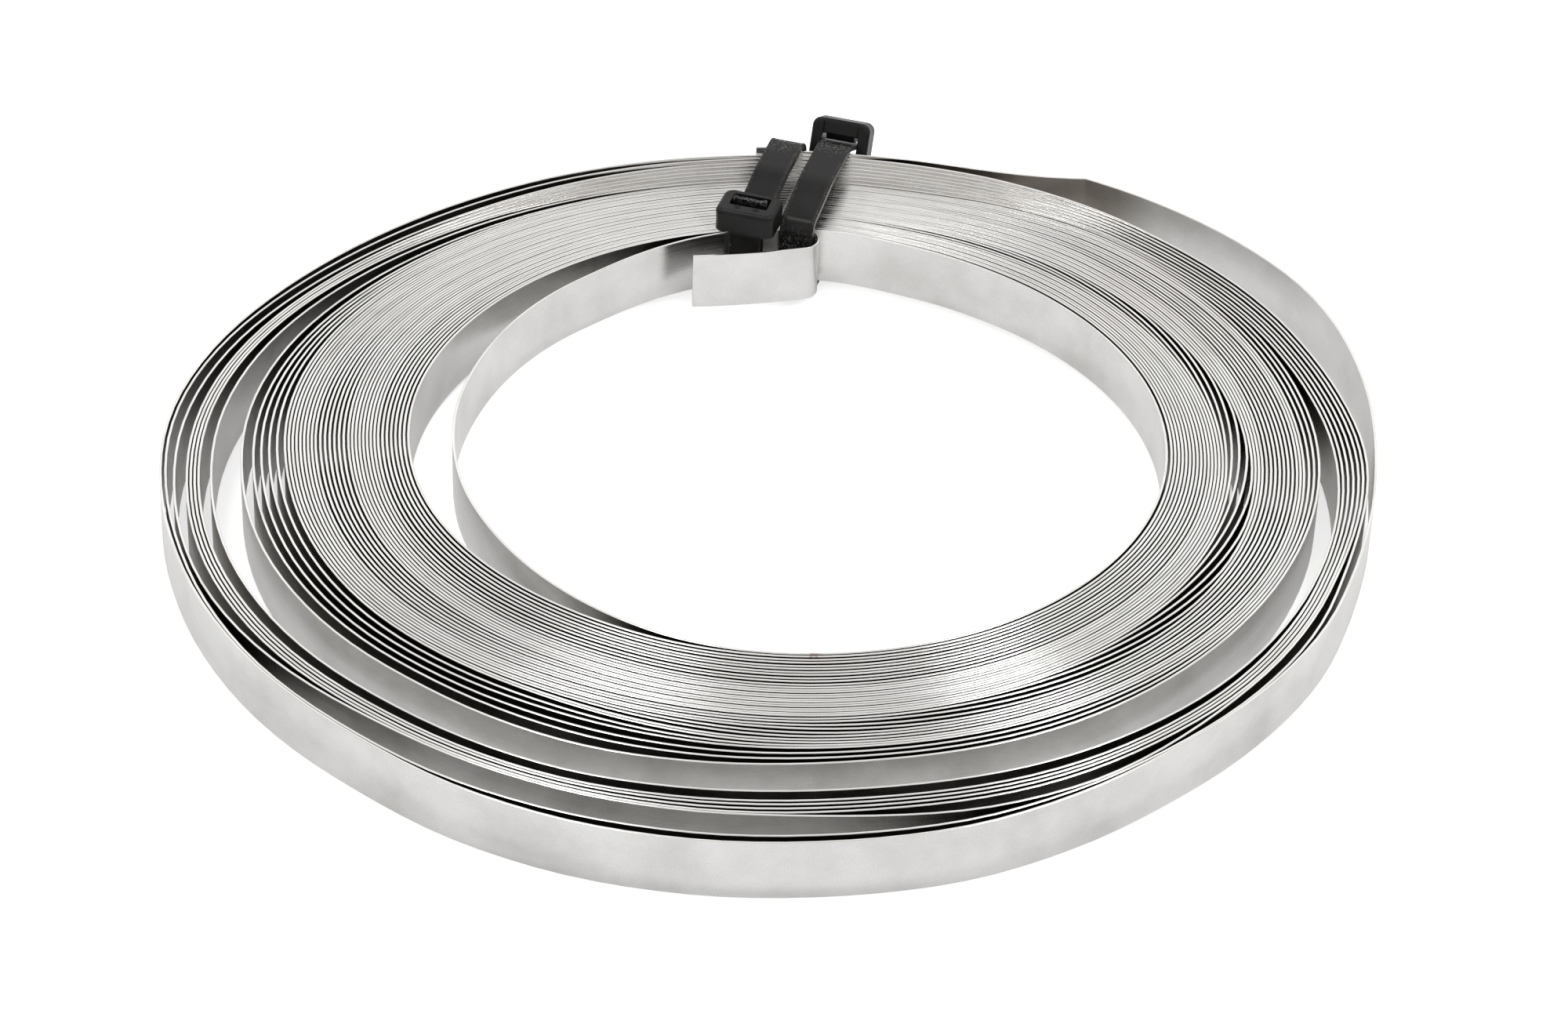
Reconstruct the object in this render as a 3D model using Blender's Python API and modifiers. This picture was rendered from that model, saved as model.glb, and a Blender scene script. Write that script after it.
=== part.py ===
"""Coil of stainless steel band, tied off with two cable ties.

One strip of slit steel is wound loosely into a flat coil. Every turn is pinched together where
the two ties go round the pack at the back. Away from the ties the turns spring apart, so gaps open
between some of them. Near the ties the outer turns have climbed a little over the inner ones.
The inner end is folded back over the ties, and the outermost turn bulges to a kink.

Metres, +Z up. The coil's own frame has its pole at the centre of the bore, with z = 0 at the lower
edge of the band. Angles run anticlockwise from +X, and the ties sit near 90 degrees.
"""
import math

import bmesh
import bpy
from mathutils import Vector, kdtree

MM = 0.001

# The band, 5/8 inch by 0.025 inch
BAND_WIDTH = 15.9 * MM
BAND_THICKNESS = 0.635 * MM

# The winding, as tight as it is at the ties
BORE_RADIUS = 92.1 * MM
TURNS = 45
PITCH = 0.66 * MM
TIED_ANGLE = 90.0
SEGMENTS = 32
MERGE_DISTANCE = 0.01 * MM

# How the pack spreads: the turn inside the spread and the turn where it is complete, its width,
# and the angles where it opens, is fully open, begins to close and has closed.
SPREADS = (
    (0, 1, 3.2 * MM, 105, 188, 195, 248),
    (0, 1, -1.3 * MM, 215, 290, 415, 450),
    (0, 1, -1.6 * MM, 340, 425, 432, 450),
    (2, 37, 7.0 * MM, 95, 168, 408, 450),
    (2, 9, 1.4 * MM, 130, 175, 205, 250),
    (2, 12, 3.1 * MM, 188, 238, 265, 390),
    (9, 17, 0.4 * MM, 130, 175, 230, 300),
    (17, 24, 2.0 * MM, 152, 186, 215, 260),
    (24, 32, 0.6 * MM, 140, 180, 205, 260),
    (24, 32, 1.6 * MM, 225, 270, 380, 440),
    (34, 37, 2.5 * MM, 228, 255, 290, 330),
    (32, 37, 6.6 * MM, 136, 208, 235, 282),
    (36, 37, 0.9 * MM, 120, 160, 240, 270),
    (34, 38, 2.0 * MM, 335, 365, 382, 408),
    (37, 38, 9.0 * MM, 100, 235, 310, 390),
    (38, 39, 2.4 * MM, 110, 190, 290, 350),
    (39, 42, 1.0 * MM, 100, 220, 300, 400),
    (38, 42, 1.6 * MM, 245, 270, 285, 310),
    (42, 43, 2.4 * MM, 125, 192, 205, 238),
    (42, 43, 2.9 * MM, 266, 288, 296, 318),
    (43, 44, 2.2 * MM, 100, 145, 175, 215),
    (43, 44, 6.9 * MM, 198, 245, 265, 300),
    (43, 44, 1.8 * MM, 300, 318, 325, 350),
    (38, 44, 3.4 * MM, 335, 362, 385, 425),
    (44, 45, 1.4 * MM, 95, 140, 195, 225),
    (44, 45, 2.2 * MM, 232, 258, 275, 310),
    (44, 45, 1.6 * MM, 315, 345, 420, 445),
)

# Short slits, one outside each of these turns: the first is at SLIT_ANGLE, outside the last turn,
# and each turn further in has its own a little further round. They are widest on the right.
FIRST_SLIT_TURN = 10
LAST_SLIT_TURN = 30
SLIT_ANGLE = 257.4
SLIT_STEP = 8.8
SLIT_WIDTH = 0.35 * MM
SLIT_EXTRA = 0.75 * MM
SLIT_WIDEST = 345.0
SLIT_SPAN = 45.0
# Where a slit opens, is fully open, begins to close and has closed, from its centre
SLIT_ENDS = (-26, -5, 3, 16)

# The loose innermost turn dips into the bore
DIPS = (
    (5.6 * MM, 100, 132, 205, 270),
    (4.8 * MM, 118, 172, 182, 255),
    (0.55 * MM, 235, 275, 400, 449),
)

# The outermost turn bulges, then runs straight from a kink to the ties
BULGE_START = 352.0
BULGE_ANGLE = 391.0
BULGE_RADIUS = 149.0 * MM
BULGE_FALL = 1.3
KINK_ANGLE = 418.8
KINK_RADIUS = 144.2 * MM
STRAIGHT_END = 441.0

# Behind, the outer turns climb: how high the last one stands, the turn that the climb begins at,
# and the angles that it runs over on the right and the left of the ties
CLIMB = 5.6 * MM
CLIMB_FROM = 37
CLIMB_RIGHT = (375.0, 440.0)
CLIMB_LEFT = (105.0, 165.0)

# The outer end runs on a little past the ties
OUTER_END_ANGLE = 456.6

# The inner end is folded back over the ties
HOOK_RADIUS = 4.4 * MM
HOOK_X = -1.2 * MM
HOOK_SEGMENTS = 10
FLAP_LENGTH = 29.4 * MM
FLAP_ANGLE = 11.3
FLAP_BOW = 0.6 * MM
FLAP_STEPS = 5

# The two cable ties
TIE_WIDTH = 9.0 * MM
TIE_THICKNESS = 1.6 * MM
TIE_EDGE = 0.25 * MM
TIE_CLEARANCE = 0.55 * MM
TIE_BEND = 1.8 * MM
TIE_SHOULDER = 3.0 * MM
TIE_LEAN = 15.5
TIE_BOW = 0.4 * MM
TIE_BOW_RADIUS = 30.0 * MM
LEFT_TIE_ANGLE = 99.0
RIGHT_TIE_ANGLE = 90.9

# The tie's moulded head, whose slot lies nearer to the neck
HEAD_WIDTH = 16.0 * MM
HEAD_LENGTH = 11.6 * MM
HEAD_HEIGHT = 7.0 * MM
HEAD_EDGE = 1.4 * MM
SLOT_WIDTH = 10.0 * MM
SLOT_LENGTH = 5.4 * MM
SLOT_OFFSET = 1.0 * MM
NECK_DEPTH = 1.6 * MM
TAIL_STUB = 0.8 * MM

# The left head stands over the bore's edge, and the tail bends out to its slot
LEFT_HEAD_STAND = 2.6 * MM
LEFT_TAIL_SHIFT = 3.4 * MM
LEFT_TAIL_RISE = 0.9 * MM
LEFT_TAIL_BEND = 2.0 * MM

# The right head stands outside the rim and leans back
RIGHT_HEAD_TILT = 25.0
RIGHT_ENTRY_OUT = 1.4 * MM
RIGHT_ENTRY_DROP = 1.6 * MM
RIGHT_ARCH_RADIUS = 8.0 * MM


def smooth(value):
    """Rise from 0 to 1 with a level start and finish."""
    clipped = min(max(value, 0.0), 1.0)
    return clipped * clipped * (3.0 - 2.0 * clipped)


def swell(angle, opens, full, fades, shut):
    """One smooth swelling between the angles where it opens and has shut."""
    rise = smooth((angle - opens) / (full - opens))
    fall = smooth((shut - angle) / (shut - fades))
    return rise * fall


def slit_width(turn, angle):
    """The slit outside one turn, seen at an angle."""
    centre = SLIT_ANGLE + SLIT_STEP * (LAST_SLIT_TURN - turn)
    width = SLIT_WIDTH + SLIT_EXTRA * math.exp(-((centre - SLIT_WIDEST) / SLIT_SPAN) ** 2)
    return width * swell(angle, *(centre + end for end in SLIT_ENDS))


def wound_radius(turn, angle):
    """A spiral with its pitch, and every spread and slit inside this turn."""
    radius = BORE_RADIUS + PITCH * (turn - 0.5 + (angle - TIED_ANGLE) / 360.0)
    for inner_turn, whole_turn, width, *angles in SPREADS:
        share = min(max((turn - inner_turn) / (whole_turn - inner_turn), 0.0), 1.0)
        radius += width * share * swell(angle, *angles)
    for slit_turn in range(FIRST_SLIT_TURN, LAST_SLIT_TURN + 1):
        if turn > slit_turn:
            radius += slit_width(slit_turn, angle)
    return radius


def turn_radius(turn, angle):
    """Distance of the band's centre line from the pole, on one turn at angles 90 to 450."""
    if turn == TURNS and BULGE_START < angle < STRAIGHT_END:
        return outer_turn_radius(angle)
    radius = wound_radius(turn, angle)
    if turn == 1:
        radius -= sum(depth * swell(angle, *angles) for depth, *angles in DIPS)
    return radius


def outer_turn_radius(angle):
    """The outermost turn's bulge, then the straight run from its kink to the ties."""
    if angle <= BULGE_ANGLE:
        start = wound_radius(TURNS, BULGE_START)
        share = smooth((angle - BULGE_START) / (BULGE_ANGLE - BULGE_START))
        return start + (BULGE_RADIUS - start) * share
    if angle <= KINK_ANGLE:
        share = (angle - BULGE_ANGLE) / (KINK_ANGLE - BULGE_ANGLE)
        return BULGE_RADIUS + (KINK_RADIUS - BULGE_RADIUS) * share ** BULGE_FALL
    end = wound_radius(TURNS, STRAIGHT_END)
    kink = math.radians(KINK_ANGLE)
    last = math.radians(STRAIGHT_END)
    here = math.radians(angle)
    # A straight line between two polar points
    area = KINK_RADIUS * end * math.sin(last - kink)
    across = KINK_RADIUS * math.sin(here - kink) + end * math.sin(last - here)
    return area / across


def climb(turn, angle):
    """How high the band's lower edge stands in the coil's frame."""
    wraps = turn - 0.5 + (angle - TIED_ANGLE) / 360.0
    share = max((wraps - CLIMB_FROM) / (TURNS - CLIMB_FROM), 0.0)
    first, last = CLIMB_RIGHT
    if turn == TURNS:
        first = KINK_ANGLE
    right = smooth((angle - first) / (last - first))
    first, last = CLIMB_LEFT
    left = smooth((last - angle) / (last - first))
    return CLIMB * share * (right + left)


def hook_points():
    """The inner end: a flat flap, then a half round that leads into the first turn."""
    start_radius = turn_radius(1, TIED_ANGLE)
    centre = Vector((HOOK_X, start_radius - HOOK_RADIUS))
    slope = math.radians(FLAP_ANGLE)
    along = Vector((-math.cos(slope), -math.sin(slope)))
    inward = Vector((math.sin(slope), -math.cos(slope)))
    corner = centre + inward * HOOK_RADIUS
    points = []
    for step in range(FLAP_STEPS, 0, -1):
        share = step / FLAP_STEPS
        bow = FLAP_BOW * 4.0 * share * (1.0 - share)
        points.append(corner + along * (FLAP_LENGTH * share) - inward * bow)
    for step in range(HOOK_SEGMENTS):
        turned = math.radians(FLAP_ANGLE - 90.0 + (180.0 - FLAP_ANGLE) * step / HOOK_SEGMENTS)
        points.append(centre + HOOK_RADIUS * Vector((math.cos(turned), math.sin(turned))))
    return [(point.x, point.y, 0.0) for point in points]


def band_point(turn, angle):
    """One point of the band's centre line, with the height of its lower edge."""
    radius = turn_radius(turn, min(angle, TIED_ANGLE + 360.0))
    here = math.radians(angle)
    return (radius * math.cos(here), radius * math.sin(here), climb(turn, angle))


def band_points():
    """The whole strip from its inner end to its outer end."""
    points = hook_points()
    for turn in range(1, TURNS + 1):
        for step in range(SEGMENTS):
            points.append(band_point(turn, TIED_ANGLE + step * 360.0 / SEGMENTS))
    last_angle = TIED_ANGLE + 360.0
    for share in (0.0, 0.5, 1.0):
        points.append(band_point(TURNS, last_angle + (OUTER_END_ANGLE - last_angle) * share))
    return points


def make_material(name, colour, metallic, roughness):
    """A plain Principled BSDF material."""
    material = bpy.data.materials.new(name)
    material.use_nodes = True
    shader = material.node_tree.nodes["Principled BSDF"]
    shader.inputs["Base Color"].default_value = (*colour, 1.0)
    shader.inputs["Metallic"].default_value = metallic
    shader.inputs["Roughness"].default_value = roughness
    material.diffuse_color = (*colour, 1.0)
    return material


def make_ribbon(name, points, width, thickness, collection, material):
    """A strip on edge: a curve extruded to the strip's width, with Solidify for its thickness.

    A point is (x, y, how far the strip is raised there).
    """
    curve = bpy.data.curves.new(name + "_route", "CURVE")
    curve.dimensions = "2D"
    curve.fill_mode = "NONE"
    curve.extrude = width / 2
    spline = curve.splines.new("POLY")
    spline.points.add(len(points) - 1)
    for control, (x, y, raised) in zip(spline.points, points):
        control.co = (x, y, 0.0, 1.0)
    route = bpy.data.objects.new(name + "_route", curve)
    collection.objects.link(route)
    bpy.context.view_layer.update()
    evaluated = route.evaluated_get(bpy.context.evaluated_depsgraph_get())
    mesh = bpy.data.meshes.new_from_object(evaluated)
    bpy.data.objects.remove(route)
    mesh.name = name
    nearest = kdtree.KDTree(len(points))
    for index, (x, y, raised) in enumerate(points):
        nearest.insert((x, y, 0.0), index)
    nearest.balance()
    for vertex in mesh.vertices:
        found = nearest.find((vertex.co.x, vertex.co.y, 0.0))[1]
        vertex.co.z += points[found][2]
    shape = bmesh.new()
    shape.from_mesh(mesh)
    bmesh.ops.remove_doubles(shape, verts=shape.verts, dist=MERGE_DISTANCE)
    shape.to_mesh(mesh)
    shape.free()
    ribbon = bpy.data.objects.new(name, mesh)
    ribbon.data.materials.clear()
    ribbon.data.materials.append(material)
    collection.objects.link(ribbon)
    solidify = ribbon.modifiers.new("thickness", "SOLIDIFY")
    solidify.thickness = thickness
    solidify.offset = 0.0
    solidify.use_even_offset = True
    return ribbon


def rounded_route(corners, steps=5):
    """Points along straight runs whose corners are rounded; a corner is (x, y, radius)."""
    points = [Vector(corners[0][:2])]
    for before, corner, after in zip(corners, corners[1:], corners[2:]):
        here = Vector(corner[:2])
        back = (Vector(before[:2]) - here).normalized()
        ahead = (Vector(after[:2]) - here).normalized()
        half = back.angle(ahead) / 2
        centre = here + (back + ahead).normalized() * (corner[2] / math.sin(half))
        tangent = corner[2] / math.tan(half)
        first = here + back * tangent - centre
        last = here + ahead * tangent - centre
        turn = first.angle_signed(last)
        for step in range(steps + 1):
            angle = -turn * step / steps
            cosine, sine = math.cos(angle), math.sin(angle)
            spoke = Vector((first.x * cosine - first.y * sine, first.x * sine + first.y * cosine))
            points.append(centre + spoke)
    points.append(Vector(corners[-1][:2]))
    return [(point.x, point.y, 0.0) for point in points]


def tie_frame(angle):
    """Foot of a tie on the bore, then how far out its inner leg, its lower bend and its outer leg stand."""
    lean = math.radians(TIE_LEAN)
    ahead = Vector((math.sin(lean), math.cos(lean)))
    side = Vector((math.cos(lean), -math.sin(lean)))
    rim = turn_radius(1, TIED_ANGLE)
    foot = rim * Vector((math.cos(math.radians(angle)), math.sin(math.radians(angle))))
    level_rim = turn_radius(CLIMB_FROM, TIED_ANGLE + 360.0) + BAND_THICKNESS
    outer_rim = turn_radius(TURNS, TIED_ANGLE + 360.0) + BAND_THICKNESS
    # Between its points the band runs straight, a little inside the true round
    flat = math.cos(math.pi / SEGMENTS)
    inner_reach = []
    level_reach = []
    outer_reach = []
    for edge in (-1, 0, 1):
        point = foot + side * (edge * TIE_WIDTH / 2)
        leg = point - ahead * (TIE_THICKNESS + TIE_WIDTH * math.sin(lean) / 2)
        edge_angle = math.degrees(math.atan2(leg.y, leg.x))
        inner_rim = (turn_radius(1, edge_angle) - BAND_THICKNESS / 2) * flat
        inner_reach.append(distance_to_circle(point, ahead, inner_rim))
        level_reach.append(distance_to_circle(point, ahead, level_rim))
        outer_reach.append(distance_to_circle(point, ahead, outer_rim))
    stand_off = TIE_CLEARANCE + TIE_THICKNESS / 2
    return foot, min(inner_reach) - stand_off, max(level_reach), max(outer_reach) + stand_off


def distance_to_circle(point, ahead, radius):
    """How far a point travels along a direction to reach a circle about the pole."""
    along = point.dot(ahead)
    return math.sqrt(along ** 2 - point.length_squared + radius ** 2) - along


def make_block(name, centre, through, depth, length, width, collection):
    """A box in the tie's plane: its depth lies along the tail's way through the head."""
    bpy.ops.mesh.primitive_cube_add(size=1.0)
    block = bpy.context.active_object
    block.name = name
    block.data.name = name
    away = Vector((-through.y, through.x))
    for vertex in block.data.vertices:
        here = centre + through * (vertex.co.x * depth) + away * (vertex.co.y * length)
        vertex.co = (here.x, here.y, vertex.co.z * width)
    block.hide_render = True
    block.display_type = "WIRE"
    for owner in list(block.users_collection):
        owner.objects.unlink(block)
    collection.objects.link(block)
    return block


def make_head(name, slot_centre, through, collection, material):
    """A rounded block with the slot that the tail runs through."""
    away = Vector((-through.y, through.x))
    head = make_block(name, slot_centre + away * SLOT_OFFSET, through,
                      HEAD_HEIGHT, HEAD_LENGTH, HEAD_WIDTH, collection)
    slot = make_block(name + "_slot", slot_centre, through,
                      3 * HEAD_HEIGHT, SLOT_LENGTH, SLOT_WIDTH, collection)
    bevel = head.modifiers.new("rounding", "BEVEL")
    bevel.width = HEAD_EDGE
    bevel.segments = 2
    cut = head.modifiers.new("slot", "BOOLEAN")
    cut.operation = "DIFFERENCE"
    cut.object = slot
    head.data.materials.append(material)
    return head, slot


def place_tie(strap, head, slot, foot):
    """Stand the tie's plane on edge at its foot, leaning off the radial line."""
    turn = math.radians(90.0 - TIE_LEAN)
    for piece in (strap, head, slot):
        piece.rotation_euler = (math.radians(90.0), 0.0, turn)
        piece.location = (foot.x, foot.y, 0.0)


def finish_tie(strap, head):
    """Round the strap's long edges and fuse its neck to the head."""
    bevel = strap.modifiers.new("edges", "BEVEL")
    bevel.width = TIE_EDGE
    bevel.segments = 1
    bevel.limit_method = "ANGLE"
    bevel.angle_limit = math.radians(60.0)
    fuse = strap.modifiers.new("head", "BOOLEAN")
    fuse.operation = "UNION"
    fuse.object = head


def make_left_tie(collection, cutters, material):
    """Head at the inner rim: the tail comes up through the bore and out of the head's top."""
    foot, inner, level, outer = tie_frame(LEFT_TIE_ANGLE)
    stand_off = TIE_CLEARANCE + TIE_THICKNESS / 2
    arch = BAND_WIDTH + climb(TURNS, OUTER_END_ANGLE) + stand_off + TIE_BOW
    slot = Vector((inner + LEFT_TAIL_SHIFT, BAND_WIDTH + LEFT_HEAD_STAND + HEAD_HEIGHT / 2))
    neck = slot + Vector((HEAD_LENGTH / 2 - SLOT_OFFSET - NECK_DEPTH, NECK_DEPTH - HEAD_HEIGHT / 2))
    bend = BAND_WIDTH + LEFT_TAIL_RISE
    corners = (
        (neck.x, neck.y, 0.0),
        ((neck.x + outer) / 2, (neck.y + arch) / 2 + TIE_BOW, TIE_BOW_RADIUS),
        (outer, arch, TIE_SHOULDER),
        (outer, CLIMB - stand_off, TIE_BEND),
        (level, -stand_off, TIE_BEND),
        (inner, -stand_off, TIE_BEND),
        (inner, bend, LEFT_TAIL_BEND),
        (slot.x, bend + LEFT_TAIL_SHIFT, LEFT_TAIL_BEND),
        (slot.x, slot.y + HEAD_HEIGHT / 2 + TAIL_STUB, 0.0),
    )
    strap = make_ribbon("cable_tie_left", rounded_route(corners), TIE_WIDTH, TIE_THICKNESS,
                        collection, material)
    head, cutter = make_head("left_head", slot, Vector((0.0, 1.0)), cutters, material)
    finish_tie(strap, head)
    place_tie(strap, head, cutter, foot)
    return strap


def make_right_tie(collection, cutters, material):
    """Head outside the rim: the tail comes over the top and down through the leaning head."""
    foot, inner, level, outer = tie_frame(RIGHT_TIE_ANGLE)
    stand_off = TIE_CLEARANCE + TIE_THICKNESS / 2
    arch = BAND_WIDTH + climb(TURNS, OUTER_END_ANGLE) + stand_off + TIE_BOW
    shoulder = BAND_WIDTH + stand_off + TIE_BOW
    tilt = math.radians(RIGHT_HEAD_TILT)
    through = Vector((math.cos(tilt), -math.sin(tilt)))
    away = Vector((math.sin(tilt), math.cos(tilt)))
    entry = Vector((outer + RIGHT_ENTRY_OUT, arch - RIGHT_ENTRY_DROP))
    peak = entry.x - RIGHT_ENTRY_DROP / math.tan(tilt)
    slot = entry + through * (HEAD_HEIGHT / 2)
    neck = slot - through * (HEAD_HEIGHT - TIE_THICKNESS) / 2
    neck -= away * (HEAD_LENGTH / 2 - SLOT_OFFSET - NECK_DEPTH)
    tail = slot + through * (HEAD_HEIGHT / 2 + TAIL_STUB)
    corners = (
        (neck.x, neck.y, 0.0),
        (outer, neck.y - (neck.x - outer) / math.tan(tilt), TIE_SHOULDER),
        (outer, CLIMB - stand_off, TIE_BEND),
        (level, -stand_off, TIE_BEND),
        (inner, -stand_off, TIE_BEND),
        (inner, shoulder, TIE_SHOULDER),
        ((inner + peak) / 2, (shoulder + arch) / 2 + TIE_BOW, TIE_BOW_RADIUS),
        (peak, arch, RIGHT_ARCH_RADIUS),
        (tail.x, tail.y, 0.0),
    )
    strap = make_ribbon("cable_tie_right", rounded_route(corners), TIE_WIDTH, TIE_THICKNESS,
                        collection, material)
    head, cutter = make_head("right_head", slot, through, cutters, material)
    finish_tie(strap, head)
    place_tie(strap, head, cutter, foot)
    return strap


def seat_on_floor(seat, pieces):
    """Tilt the coil on to its tie straps and front edge, and centre its box over the origin."""
    foot, inner, level, outer = tie_frame(RIGHT_TIE_ANGLE)
    drop = TIE_CLEARANCE + TIE_THICKNESS
    front = turn_radius(TURNS, 270.0)
    seat.rotation_euler.x = math.atan2(drop, foot.y + inner + front)
    bpy.context.view_layer.update()
    corners = []
    graph = bpy.context.evaluated_depsgraph_get()
    for piece in pieces:
        evaluated = piece.evaluated_get(graph)
        mesh = evaluated.to_mesh()
        corners.extend(evaluated.matrix_world @ vertex.co for vertex in mesh.vertices)
        evaluated.to_mesh_clear()
    low = [min(corner[axis] for corner in corners) for axis in range(3)]
    high = [max(corner[axis] for corner in corners) for axis in range(3)]
    seat.location = (-(low[0] + high[0]) / 2, -(low[1] + high[1]) / 2, -low[2])


def build():
    """Make the band and its two ties and set them on the floor."""
    for old in list(bpy.data.objects):
        bpy.data.objects.remove(old)
    coil = bpy.data.collections.new("steel_band_coil")
    cutters = bpy.data.collections.new("cutters")
    bpy.context.scene.collection.children.link(coil)
    bpy.context.scene.collection.children.link(cutters)
    steel = make_material("stainless_steel", (0.66, 0.65, 0.63), 1.0, 0.28)
    nylon = make_material("black_nylon", (0.035, 0.034, 0.033), 0.0, 0.45)

    band = make_ribbon("steel_band", band_points(), BAND_WIDTH, BAND_THICKNESS, coil, steel)
    band.location.z = BAND_WIDTH / 2
    left_tie = make_left_tie(coil, cutters, nylon)
    right_tie = make_right_tie(coil, cutters, nylon)

    seat = bpy.data.objects.new("coil_seat", None)
    coil.objects.link(seat)
    for piece in [band, left_tie, right_tie, *cutters.objects]:
        piece.parent = seat
    seat_on_floor(seat, (band, left_tie, right_tie))


build()
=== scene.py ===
"""A loose coil of stainless steel band, tied off with two cable ties, as a studio picture."""
import math
import bpy
import numpy as np
from mathutils import Matrix, Vector


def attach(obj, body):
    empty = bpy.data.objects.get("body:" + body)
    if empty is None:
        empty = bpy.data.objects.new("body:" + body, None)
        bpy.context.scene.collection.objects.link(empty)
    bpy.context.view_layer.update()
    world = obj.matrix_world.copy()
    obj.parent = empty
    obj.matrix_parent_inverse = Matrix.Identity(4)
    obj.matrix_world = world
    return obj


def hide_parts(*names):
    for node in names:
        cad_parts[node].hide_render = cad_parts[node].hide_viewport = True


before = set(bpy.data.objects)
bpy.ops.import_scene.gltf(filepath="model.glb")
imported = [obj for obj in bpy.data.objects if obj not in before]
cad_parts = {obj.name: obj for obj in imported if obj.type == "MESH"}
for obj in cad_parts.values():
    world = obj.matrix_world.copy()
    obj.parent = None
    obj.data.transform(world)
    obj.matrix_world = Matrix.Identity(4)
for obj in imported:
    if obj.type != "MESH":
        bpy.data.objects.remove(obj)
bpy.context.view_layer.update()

# The steel band
# One strip of bright stainless steel, slit to 5/8 inch and wound on edge in 45 loose turns. Its
# inner end is folded back over the two cable ties, and nothing but the ties holds the pack.
MM = 0.001
DEG = math.pi / 180.0
WIDTH = 15.9 * MM
THICKNESS = 0.635 * MM
CROWN = 0.11 * MM
TURNS = 45
BORE_RADIUS = 92.1 * MM
PITCH = 0.66 * MM
STEPS = 144

# The coil is made level round its bore's centre. It then goes to its place in the CAD, where it is
# tilted about X on to its tie straps and its front edge.
SEAT = np.array([0.006235, 0.012385, 0.001395])
SEAT_TILT = 0.00863017


def seated(points):
    """From the coil's own frame to the CAD's: turned by the tilt about X, then moved by the seat."""
    cos, sin = math.cos(SEAT_TILT), math.sin(SEAT_TILT)
    x, y, z = np.asarray(points, float).reshape(-1, 3).T
    return np.stack([x, cos * y - sin * z, sin * y + cos * z], 1) + SEAT


def smooth(share):
    """0 to 1 with level ends: 3 v^2 - 2 v^3."""
    share = np.clip(share, 0.0, 1.0)
    return share * share * (3.0 - 2.0 * share)


def swell(angle, opens, full, fades, shut):
    """A hill that is flat on top: a smooth rise times a smooth fall."""
    return smooth((angle - opens) / (full - opens)) * smooth((shut - angle) / (shut - fades))


# Angles are in degrees, anticlockwise from +X. A turn runs from 90, at the ties, round to 450.
# Spreads: the turns between which the pack opens, by how many millimetres, and the angles where
# the opening begins, is full, begins to close and has closed.
SPREADS = (
    (0, 1, 3.2, 105, 188, 195, 248),
    (0, 1, -1.3, 215, 290, 415, 450),
    (0, 1, -1.6, 340, 425, 432, 450),
    (2, 37, 7.0, 95, 168, 408, 450),
    (2, 9, 1.4, 130, 175, 205, 250),
    (2, 12, 3.1, 188, 238, 265, 390),
    (9, 17, 0.4, 130, 175, 230, 300),
    (17, 24, 2.0, 152, 186, 215, 260),
    (24, 32, 0.6, 140, 180, 205, 260),
    (24, 32, 1.6, 225, 270, 380, 440),
    (34, 37, 2.5, 228, 255, 290, 330),
    (32, 37, 6.6, 136, 208, 235, 282),
    (36, 37, 0.9, 120, 160, 240, 270),
    (34, 38, 2.0, 335, 365, 382, 408),
    (37, 38, 9.0, 100, 235, 310, 390),
    (38, 39, 2.4, 110, 190, 290, 350),
    (39, 42, 1.0, 100, 220, 300, 400),
    (38, 42, 1.6, 245, 270, 285, 310),
    (42, 43, 2.4, 125, 192, 205, 238),
    (42, 43, 2.9, 266, 288, 296, 318),
    (43, 44, 2.2, 100, 145, 175, 215),
    (43, 44, 6.9, 198, 245, 265, 300),
    (43, 44, 1.8, 300, 318, 325, 350),
    (38, 44, 3.4, 335, 362, 385, 425),
    (44, 45, 1.4, 95, 140, 195, 225),
    (44, 45, 2.2, 232, 258, 275, 310),
    (44, 45, 1.6, 315, 345, 420, 445),
)

# Lens-shaped slits: one opens outside each of these turns, each at a smaller angle than the one
# before it. They are widest on the right.
SLIT_TURNS = np.arange(10, 31)
SLIT_CENTRES = 433.4 - 8.8 * (SLIT_TURNS - SLIT_TURNS[0])
SLIT_WIDTHS = (0.35 + 0.75 * np.exp(-((SLIT_CENTRES - 345.0) / 45.0) ** 2)) * MM

# The first turn, which nothing holds, dips into the bore: depth in mm and the same four angles
DIPS = ((5.6, 100, 132, 205, 270), (4.8, 118, 172, 182, 255), (0.55, 235, 275, 400, 449))


def wraps_at(turn, angle):
    """The wraps so far: turn - 1/2 + (angle - 90) / 360."""
    return turn - 0.5 + (angle - 90.0) / 360.0


def wound(turn, angle):
    """Radius = bore + pitch * wraps so far + each spread and slit inside this turn - the dips."""
    radius = BORE_RADIUS + PITCH * wraps_at(turn, angle)
    for first, last, width, *angles in SPREADS:
        share = np.clip((turn - first) / (last - first), 0.0, 1.0)
        radius = radius + width * MM * share * swell(angle, *angles)
    for inner, centre, width in zip(SLIT_TURNS, SLIT_CENTRES, SLIT_WIDTHS):
        hill = swell(angle, centre - 26, centre - 5, centre + 3, centre + 16)
        radius = radius + np.where(turn > inner, width * hill, 0.0)
    for depth, *angles in DIPS:
        radius = radius - np.where(turn == 1, depth * MM * swell(angle, *angles), 0.0)
    return radius


# The last turn bulges out on the right, and from a kink it runs straight to the ties
BULGE_START, BULGE_ANGLE, KINK_ANGLE, STRAIGHT_END = 352.0, 391.0, 418.8, 441.0
BULGE_RADIUS = 149.0 * MM
KINK_RADIUS = 144.2 * MM


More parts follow.
